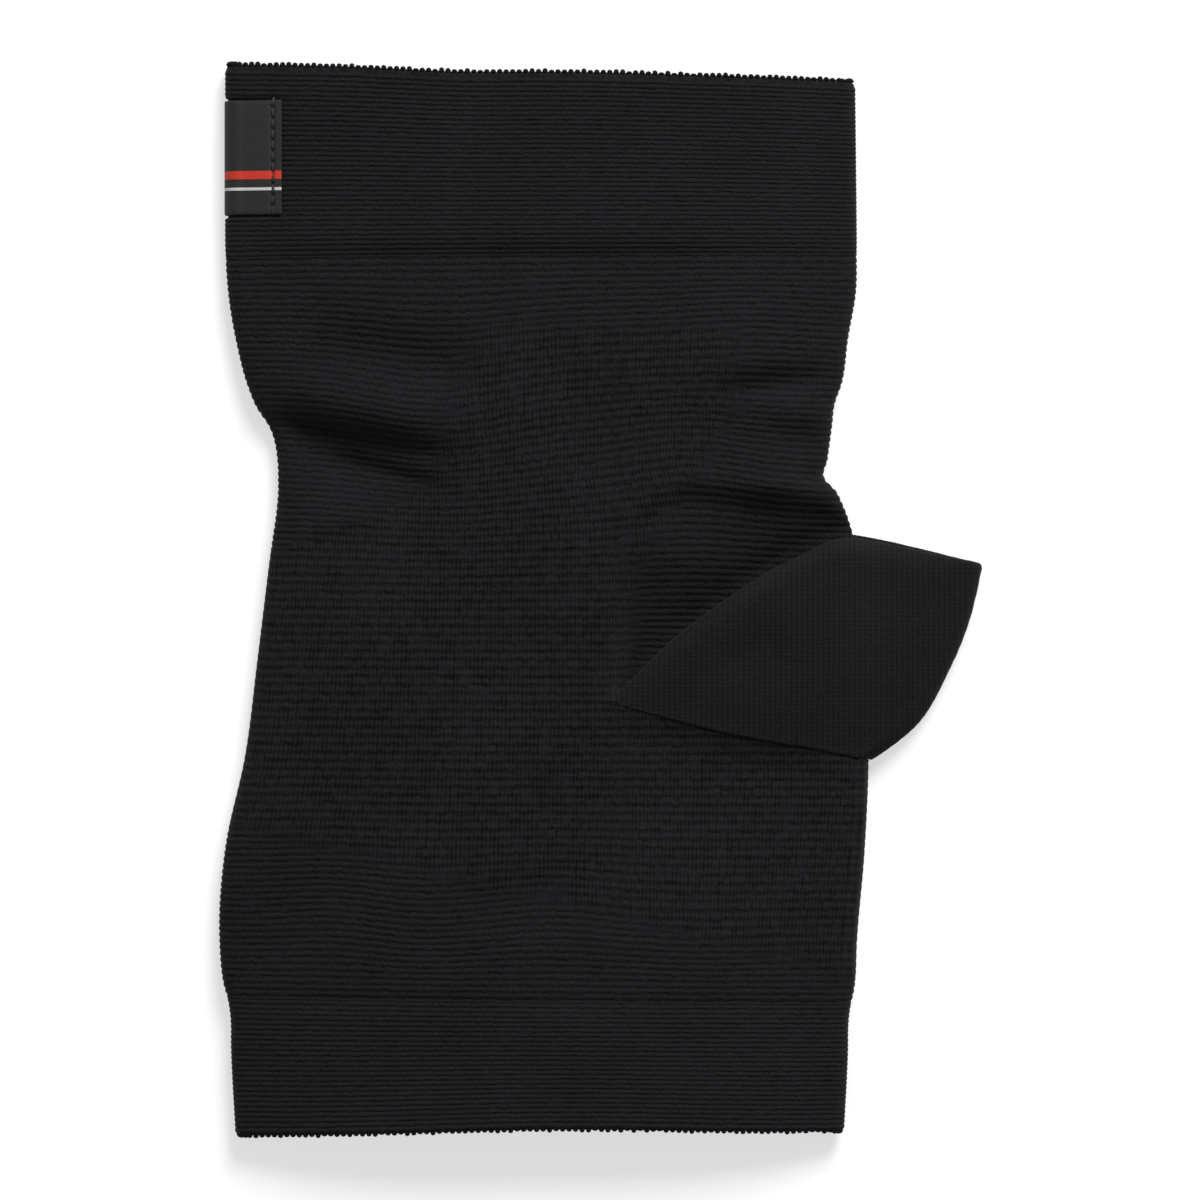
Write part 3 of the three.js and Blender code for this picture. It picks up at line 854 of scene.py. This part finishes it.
def heel_pocket(material):
    upper_count, arc, lower_count = POCKET_COLUMNS
    along = np.linspace(*POCKET_ROW_SHARE, POCKET_ROWS)[:, None]
    near = np.linspace(0, 1, upper_count + 1)[None]
    back = np.linspace(1, 0, lower_count + 1)[None]
    near_plan = pocket_plan(*np.broadcast_arrays(along, near))
    back_plan = pocket_plan(*np.broadcast_arrays(along, back))
    near_z = pocket_height(near_plan, near)
    radius = POCKET_EDGE_HEIGHT / 2
    edge = near_plan[:, -1:]
    outward = unit(edge - near_plan[:, -3:-2])
    turn = np.pi * (0.5 - np.arange(1, arc) / arc)
    arc_plan = edge + outward * (radius * np.cos(turn))[None, :, None]
    arc_z = np.broadcast_to(radius * (1 + np.sin(turn)), arc_plan.shape[:2])
    plan = np.concatenate([near_plan, arc_plan, back_plan], axis=1)
    z = np.concatenate([near_z, arc_z, np.zeros(back_plan.shape[:2])], axis=1)
    points = np.concatenate([plan, z[..., None]], axis=-1)
    relief = HEEL_DEPTH * (rounded_course(points[..., 0] / HEEL_WALE) - 1)
    normals = normals_of(points, False)
    wall = Wall(points, normals, relief, POCKET_WALL, False, 0.0, along[:, 0], POCKET_CREASE_ROUND)
    quads, _ = wall.faces()
    grid = wall.grid.reshape(-1, 3)
    places = np.stack([grid[..., 0] / HEEL_WALE, grid[..., 1] / HEEL_COURSE], axis=-1)
    return mesh_object("heel_pocket_knit", grid, quads, material, places[quads])


# Small repeated things

def bead_shape():
    """A round bead: a cube whose faces are cut in four and pushed out to a ball."""
    index = {}
    quads = []
    for axis, side, i, j in product(range(3), (-1, 1), (-1, 0), (-1, 0)):
        square = [(i, j), (i + 1, j), (i + 1, j + 1), (i, j + 1)]
        corners = [tuple(np.roll((side, a, b), axis)) for a, b in square[::side]]
        quads.append([index.setdefault(corner, len(index)) for corner in corners])
    return unit(np.array(list(index), float)), np.array(quads)


def beads(name, centres, axes, material):
    """Many beads in one mesh. Each has three half axes as the rows of a matrix."""
    if np.linalg.det(axes[0]) < 0:
        axes[:, 2] *= -1
    ball, quads = bead_shape()
    points = centres[:, None] + np.einsum("ki,nij->nkj", ball, axes)
    numbers = quads[None] + (np.arange(len(centres)) * len(ball))[:, None, None]
    return mesh_object(name, points, numbers, material)


def rim_loops(name, line, towards, material):
    """The loops of yarn that stand along a rim."""
    rng = np.random.default_rng(LOOP_SEED)
    row = Ring(*LOOP_RING).points(*np.array(line)[:, None, None])[0]
    row = np.vstack([row, row[:1]])
    lengths = lengths_along(row)
    count = round(lengths[-1] / WALE)
    at = (np.arange(count) + 0.5) / count * lengths[-1]
    centres = points_along(row, lengths, at)
    tangent = unit(points_along(row, lengths, at + LOOP_STEP) - centres)
    away = np.array([0.0, towards, 0.0])
    inward = unit(np.cross(tangent, np.array([0.0, 1.0, 0.0])))
    to_middle = np.sum(inward * (np.array(TUBE_MIDDLE) - centres), axis=-1)
    centres = centres + inward * LOOP_DEPTH * np.sign(to_middle)[:, None]
    size = 1 + LOOP_SPREAD * np.clip(rng.standard_normal(count), *LOOP_SPREAD_LIMITS)
    half_width, half_height, half_depth = LOOP_HALF_SIZES
    axes = np.stack([
        tangent * half_width,
        away * (half_height * size)[:, None],
        inward * half_depth,
    ], axis=1)
    return beads(name, centres, axes, material)


# Label

def label_section():
    """The cuff's outside under the label, from the hem on top round the edge to the end below, in x and z."""
    middle = (LABEL_FROM + LABEL_TO) / 2
    ring = Ring(*LABEL_RING)
    row = ring.points(np.array([[middle]]), np.array([[middle]]))[0]
    covered = row[:, 0] <= LABEL_END
    parts = [covered & (ring.layer > 0), ring.side < 0, covered & (ring.layer < 0)]
    return np.concatenate([row[part] for part in parts])[:, [0, 2]]


def label(material):
    section = label_section()
    lengths = lengths_along(section)
    section_steps, down_steps = LABEL_STEPS
    at = np.linspace(0, lengths[-1], section_steps)
    section = points_along(section, lengths, at)
    tangent = unit(np.gradient(section, axis=0))
    outward = np.stack([tangent[:, 1], -tangent[:, 0]], axis=-1)
    on_top = section[:, 1] > EDGE_HEIGHT / 2
    hem_rise, hem_ease = LABEL_HEM
    dent, dent_reach = LABEL_DENT
    hem = smoothstep(section[:, 0], STITCH_X, STITCH_X + hem_ease) * on_top
    stitched = np.exp(-(((section[:, 0] - STITCH_X) / dent_reach) ** 2)) * on_top
    lift = LABEL_GAP + LABEL_THICKNESS + hem_rise * hem - dent * stitched
    outer = section + outward * lift[:, None]
    down = np.linspace(LABEL_FROM + LABEL_ROUND, LABEL_TO - LABEL_ROUND, down_steps)
    from_end = np.minimum(down - LABEL_FROM, LABEL_TO - down)
    fall = LABEL_FALL[0] * np.exp(-from_end / LABEL_FALL[1])
    z = outer[:, 1] - fall[:, None] * (section[:, 1] > LABEL_UNDERSIDE)
    points = np.stack(np.broadcast_arrays(outer[:, 0], (CALF_END - down)[:, None], z), axis=-1)
    flat = np.zeros(points.shape[:2])
    normals = normals_of(points, False)
    wall = Wall(points, normals, flat, LABEL_THICKNESS, False, np.append(at, 0), down - LABEL_FROM)
    quads, places = wall.faces()
    return mesh_object("label_cloth", wall.grid, quads, material, places)


def label_stitches(material):
    rng = np.random.default_rng(STITCH_SEED)
    down = np.arange(LABEL_FROM - STITCH_START, LABEL_TO - STITCH_STOP, STITCH_PITCH)
    section = label_section()
    top = section[section[:, 1] > EDGE_HEIGHT / 2]
    under_label = np.interp(STITCH_X, top[::-1, 0], top[::-1, 1])
    height = under_label + LABEL_GAP + LABEL_THICKNESS - STITCH_SINK
    tilt = STITCH_TILT[0] + STITCH_TILT[1] * rng.standard_normal(len(down))
    x = STITCH_X + STITCH_STRAY * rng.standard_normal(len(down))
    y = CALF_END - down - STITCH_PITCH / 2
    centres = np.stack([x, y, np.full(len(down), height)], axis=-1)
    level = np.zeros(len(down))
    ahead = np.stack([np.sin(tilt), np.cos(tilt), level], axis=-1)
    side = np.stack([np.cos(tilt), -np.sin(tilt), level], axis=-1)
    above = np.broadcast_to(np.array([0.0, 0.0, 1.0]), side.shape)
    half_length, half_height, half_width = STITCH_HALF_SIZES
    axes = np.stack([ahead * half_length, above * half_height, side * half_width], axis=1)
    return beads("label_stitches", centres, axes, material)


# Materials

class Shader:
    """A material's nodes, made by short calls that return sockets."""

    def __init__(self, name):
        self.material = bpy.data.materials.new(name)
        self.material.use_nodes = True
        self.tree = self.material.node_tree
        self.surface = self.tree.nodes["Principled BSDF"]

    def node(self, kind, inputs=None, **settings):
        made = self.tree.nodes.new(kind)
        for key, value in settings.items():
            setattr(made, key, value)
        for key, value in (inputs or {}).items():
            self.set(made.inputs[key], value)
        return made

    def set(self, socket, value):
        if isinstance(value, bpy.types.NodeSocket):
            self.tree.links.new(value, socket)
        else:
            socket.default_value = value

    def math(self, operation, a, b=0.0, c=0.0):
        return self.node("ShaderNodeMath", {0: a, 1: b, 2: c}, operation=operation).outputs[0]

    def vector(self, operation, a, b):
        return self.node("ShaderNodeVectorMath", {0: a, 1: b}, operation=operation).outputs[0]

    def blend(self, factor, a, b):
        return self.node("ShaderNodeMix", {0: factor, 6: a, 7: b}, data_type="RGBA").outputs[2]

    def shades(self, factor, colors):
        dark, light = colors
        return self.blend(factor, (*dark, 1), (*light, 1))

    def knit_places(self, wander=(0.0, 0.0)):
        """The wale and course numbers of a point, which wander a little from even rows."""
        uv = self.node("ShaderNodeUVMap", uv_map=KNIT_LAYER).outputs[0]
        waves = self.node("ShaderNodeTexNoise", {"Vector": uv, "Scale": 0.9, "Detail": 3.0}).outputs[1]
        waves = self.vector("SUBTRACT", waves, (0.5, 0.5, 0.5))
        waves = self.vector("MULTIPLY", waves, (*wander, 0))
        split = self.node("ShaderNodeSeparateXYZ", {0: self.vector("ADD", uv, waves)})
        return split.outputs[:2]

    def noise(self, scale, detail):
        place = self.node("ShaderNodeTexCoord").outputs["Object"]
        made = self.node("ShaderNodeTexNoise", {"Vector": place, "Scale": scale, "Detail": detail})
        return made.outputs[0]

    def bump(self, height, distance, strength, normal=None):
        inputs = {"Height": height, "Distance": distance * MM, "Strength": strength}
        if normal is not None:
            inputs["Normal"] = normal
        return self.node("ShaderNodeBump", inputs).outputs[0]

    def finish(self, values):
        """Sets the surface's sockets by their names."""
        for name, value in values.items():
            self.set(self.surface.inputs[name], value)
        return self.material

    def cloth(self, color, normal, roughness, specular, sheen):
        return self.finish({
            "Base Color": color,
            "Roughness": roughness,
            "Specular IOR Level": specular,
            "Sheen Weight": sheen,
            "Sheen Roughness": 0.5,
            "Normal": normal,
        })


def groove(shader, place, power):
    """A narrow peak at each whole number of a place."""
    from_middle = shader.math("ABSOLUTE", shader.math("SUBTRACT", shader.math("FRACT", place), 0.5))
    return shader.math("POWER", shader.math("MULTIPLY", from_middle, 2.0), power)


def wave(shader, place, pitch=1.0, kind="COSINE"):
    """An even wave between 0 and 1. A cosine is highest at each whole pitch of a place."""
    turn = shader.math("MULTIPLY", place, 2 * math.pi / pitch)
    return shader.math("MULTIPLY_ADD", shader.math(kind, turn), 0.5, 0.5)


def cell_chance(shader, u, v):
    """A random number for each cell of a grid."""
    column = shader.math("FLOOR", shader.math("ADD", u, 0.5))
    row = shader.math("FLOOR", v)
    place = shader.node("ShaderNodeCombineXYZ", {0: column, 1: row}).outputs[0]
    return shader.node("ShaderNodeTexWhiteNoise", {"Vector": place}, noise_dimensions="2D").outputs[0]


def streaks(shader, u, v):
    """Slow noise that is drawn out along the courses."""
    long_u = shader.math("MULTIPLY", u, STREAK_STRETCH)
    place = shader.node("ShaderNodeCombineXYZ", {0: long_u, 1: v}).outputs[0]
    return shader.node("ShaderNodeTexNoise", {"Vector": place, "Scale": 1.0, "Detail": 2.0}).outputs[0]


def plain_shade(shader, u, v, uneven):
    """The painted shade of a plain knit, also its bump: between its wales, and fainter between its courses.
    """
    wales = shader.math("MULTIPLY", groove(shader, u, WALE_GROOVE), uneven)
    return shader.math("MULTIPLY_ADD", groove(shader, v, COURSE_GROOVE), PLAIN_COURSE_DARK, wales)


def rib_shade(shader, u, v, uneven):
    """The painted shade of a ribbed knit, also its bump: between its courses, fainter between its loops, set
    like bricks.
    """
    courses = shader.math("MULTIPLY", groove(shader, v, COURSE_GROOVE), uneven)
    is_odd = shader.math("MODULO", shader.math("FLOOR", v), 2.0)
    brick_u = shader.math("MULTIPLY_ADD", is_odd, 0.5, u)
    return shader.math("MULTIPLY_ADD", groove(shader, brick_u, LOOP_GROOVE), LOOP_DARK, courses)


def mesh_shade(shader, u, v, uneven):
    """The painted shade of the tuck-stitch mesh, also its bump: between its wide courses and between its
    uneven bars.
    """
    mesh_v = shader.math("MULTIPLY", v, BODY_COURSE / MESH_COURSE)
    bar_u = shader.math("MULTIPLY", u, WALE / MESH_BAR)
    bar_dark = shader.math("MULTIPLY_ADD", cell_chance(shader, bar_u, mesh_v), *BAR_DARK)
    bars = shader.math("MULTIPLY", wave(shader, bar_u), bar_dark)
    bars = shader.math("SUBTRACT", bars, BAR_LEVEL)
    course_dark = shader.math("MULTIPLY", uneven, MESH_COURSE_DARK)
    return shader.math("MULTIPLY_ADD", wave(shader, mesh_v), course_dark, bars)


def knit_material(name, colors, has_mesh=False, is_plain=False):
    shader = Shader(name)
    u, v = shader.knit_places(KNIT_WANDER)
    uneven = shader.math("MULTIPLY_ADD", streaks(shader, u, v), *STREAK_DARK)
    shade = plain_shade(shader, u, v, uneven) if is_plain else rib_shade(shader, u, v, uneven)
    if has_mesh:
        zone = shader.node("ShaderNodeAttribute", attribute_name=MESH_LAYER).outputs["Fac"]
        ribs = shader.math("MULTIPLY", shade, shader.math("SUBTRACT", 1.0, zone))
        shade = shader.math("MULTIPLY_ADD", mesh_shade(shader, u, v, uneven), zone, ribs)
    height = shader.math("SUBTRACT", 1.0, shade)
    fuzz = shader.noise(scale=2600.0, detail=4.0)
    patches = shader.noise(scale=70.0, detail=3.0)
    normal = shader.bump(height, distance=0.14, strength=0.8)
    normal = shader.bump(fuzz, distance=0.22, strength=0.6, normal=normal)
    # The tone: random fuzz and patches, and painted shade in the grooves, taken from the knit's height
    tone = shader.math("MULTIPLY_ADD", fuzz, TONE_OF_FUZZ, shader.math("MULTIPLY", patches, TONE_OF_PATCHES))
    tone = shader.math("MULTIPLY_ADD", height, PAINTED_SHADE_OF_HEIGHT, shader.math("ADD", tone, TONE_LEVEL))
    return shader.cloth(shader.shades(tone, colors), normal, roughness=0.92, specular=0.08, sheen=0.03)


def label_material():
    shader = Shader("label_cloth")
    u, v = shader.knit_places()
    twill = wave(shader, shader.math("ADD", u, v), LABEL_TWILL, "SINE")
    weft = wave(shader, v, LABEL_WEFT, "SINE")
    height = shader.math("MULTIPLY_ADD", weft, LABEL_WEFT_HEIGHT, twill)
    fuzz = shader.noise(scale=3000.0, detail=2.0)
    normal = shader.bump(height, distance=0.05, strength=0.8)
    normal = shader.bump(fuzz, distance=0.08, strength=0.4, normal=normal)
    color = shader.shades(twill, LABEL_COLORS)
    for low, high, band_color in LABEL_BANDS:
        above = shader.math("GREATER_THAN", v, low)
        below = shader.math("LESS_THAN", v, high)
        color = shader.blend(shader.math("MULTIPLY", above, below), color, (*band_color, 1))
    return shader.cloth(color, normal, roughness=0.7, specular=0.25, sheen=0.03)


def thread_material():
    shader = Shader("label_thread")
    fuzz = shader.noise(scale=4000.0, detail=2.0)
    normal = shader.bump(fuzz, distance=0.06, strength=0.6)
    return shader.cloth(shader.shades(fuzz, THREAD_COLORS), normal, roughness=0.6, specular=0.3, sheen=0.05)


def floor_material():
    shader = Shader("floor")
    return shader.finish({
        "Base Color": shader.shades(shader.noise(scale=30.0, detail=2.0), FLOOR_COLORS),
        "Emission Color": (1, 1, 1, 1),
        "Emission Strength": 0.6,
        "Roughness": 0.9,
        "Specular IOR Level": 0.1,
    })


# Stage

def floor():
    corners = [(-1, -1), (1, -1), (1, 1), (-1, 1)]
    points = np.array([(x * FLOOR_HALF, y * FLOOR_HALF, -FLOOR_DROP) for x, y in corners])
    return mesh_object("floor", points, np.array([[0, 1, 2, 3]]), floor_material())


def light(name, place, size, power):
    lamp = bpy.data.lights.new(name, "AREA")
    lamp.shape = "DISK"
    lamp.size = size
    lamp.energy = power
    made = add_object(name, lamp)
    made.location = place
    made.rotation_euler = (-made.location).to_track_quat("-Z", "Y").to_euler()


def world(strength):
    sky = bpy.data.worlds.new("studio")
    sky.use_nodes = True
    background = sky.node_tree.nodes["Background"]
    background.inputs["Color"].default_value = (1, 1, 1, 1)
    background.inputs["Strength"].default_value = strength
    bpy.context.scene.world = sky


def camera():
    lens = bpy.data.cameras.new("camera")
    lens.sensor_width = SENSOR
    lens.lens = SENSOR * (CAMERA_HEIGHT - EDGE_HEIGHT) / PICTURE_WIDTH
    made = add_object("camera", lens)
    made.location = (0, 0, CAMERA_HEIGHT * MM)
    bpy.context.scene.camera = made


camera()
world(strength=0.22)
light("key", place=(0.38, 1.02, 0.88), size=0.7, power=27.0)
light("fill", place=(-0.6, -0.5, 0.9), size=0.9, power=1.8)
bpy.context.scene.view_settings.view_transform = "Standard"
floor()

cuff_knit = knit_material("cuff_knit", RIB_COLORS)
body_knit = knit_material("body_knit", RIB_COLORS, has_mesh=True)
heel_knit = knit_material("heel_knit", HEEL_COLORS, is_plain=True)
label_cloth = label_material()
thread = thread_material()

calf_inset = RIM_SET_BACK + CALF_RIM_ROUND * CUFF_WALL / 2
foot_inset = RIM_SET_BACK + FOOT_RIM_ROUND * CUFF_WALL / 2
seam = SEAM_GAP / 2 + SEAM_ROUND * CUFF_WALL / 2
calf = cuff("calf_cuff_knit", shifted(CALF_RIM, calf_inset), shifted(CALF_SEAM, -seam), True, cuff_knit)
foot = cuff("foot_cuff_knit", shifted(FOOT_SEAM, seam), shifted(FOOT_RIM, -foot_inset), False, cuff_knit)
body = ankle_body(body_knit)
pocket = heel_pocket(heel_knit)
loop_inset = RIM_SET_BACK + LOOP_SET_BACK
calf_loops = rim_loops("calf_rim_loops", shifted(CALF_RIM, loop_inset), 1.0, cuff_knit)
foot_loops = rim_loops("foot_rim_loops", shifted(FOOT_RIM, -loop_inset), -1.0, cuff_knit)
tag = label(label_cloth)
stitches = label_stitches(thread)

PIECES = [
    (calf, "cuff_knit", "calf_cuff"),
    (calf_loops, "cuff_knit", None),
    (body, "body_knit", "ankle_body"),
    (pocket, "heel_knit", "heel_pocket"),
    (foot, "cuff_knit", "foot_cuff"),
    (foot_loops, "cuff_knit", None),
    (tag, "label_cloth", "label"),
    (stitches, "label_cloth", None),
]
for piece, slot, node in PIECES:
    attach(piece, "root")
    if node:
        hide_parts(node)

bpy.context.view_layer.update()
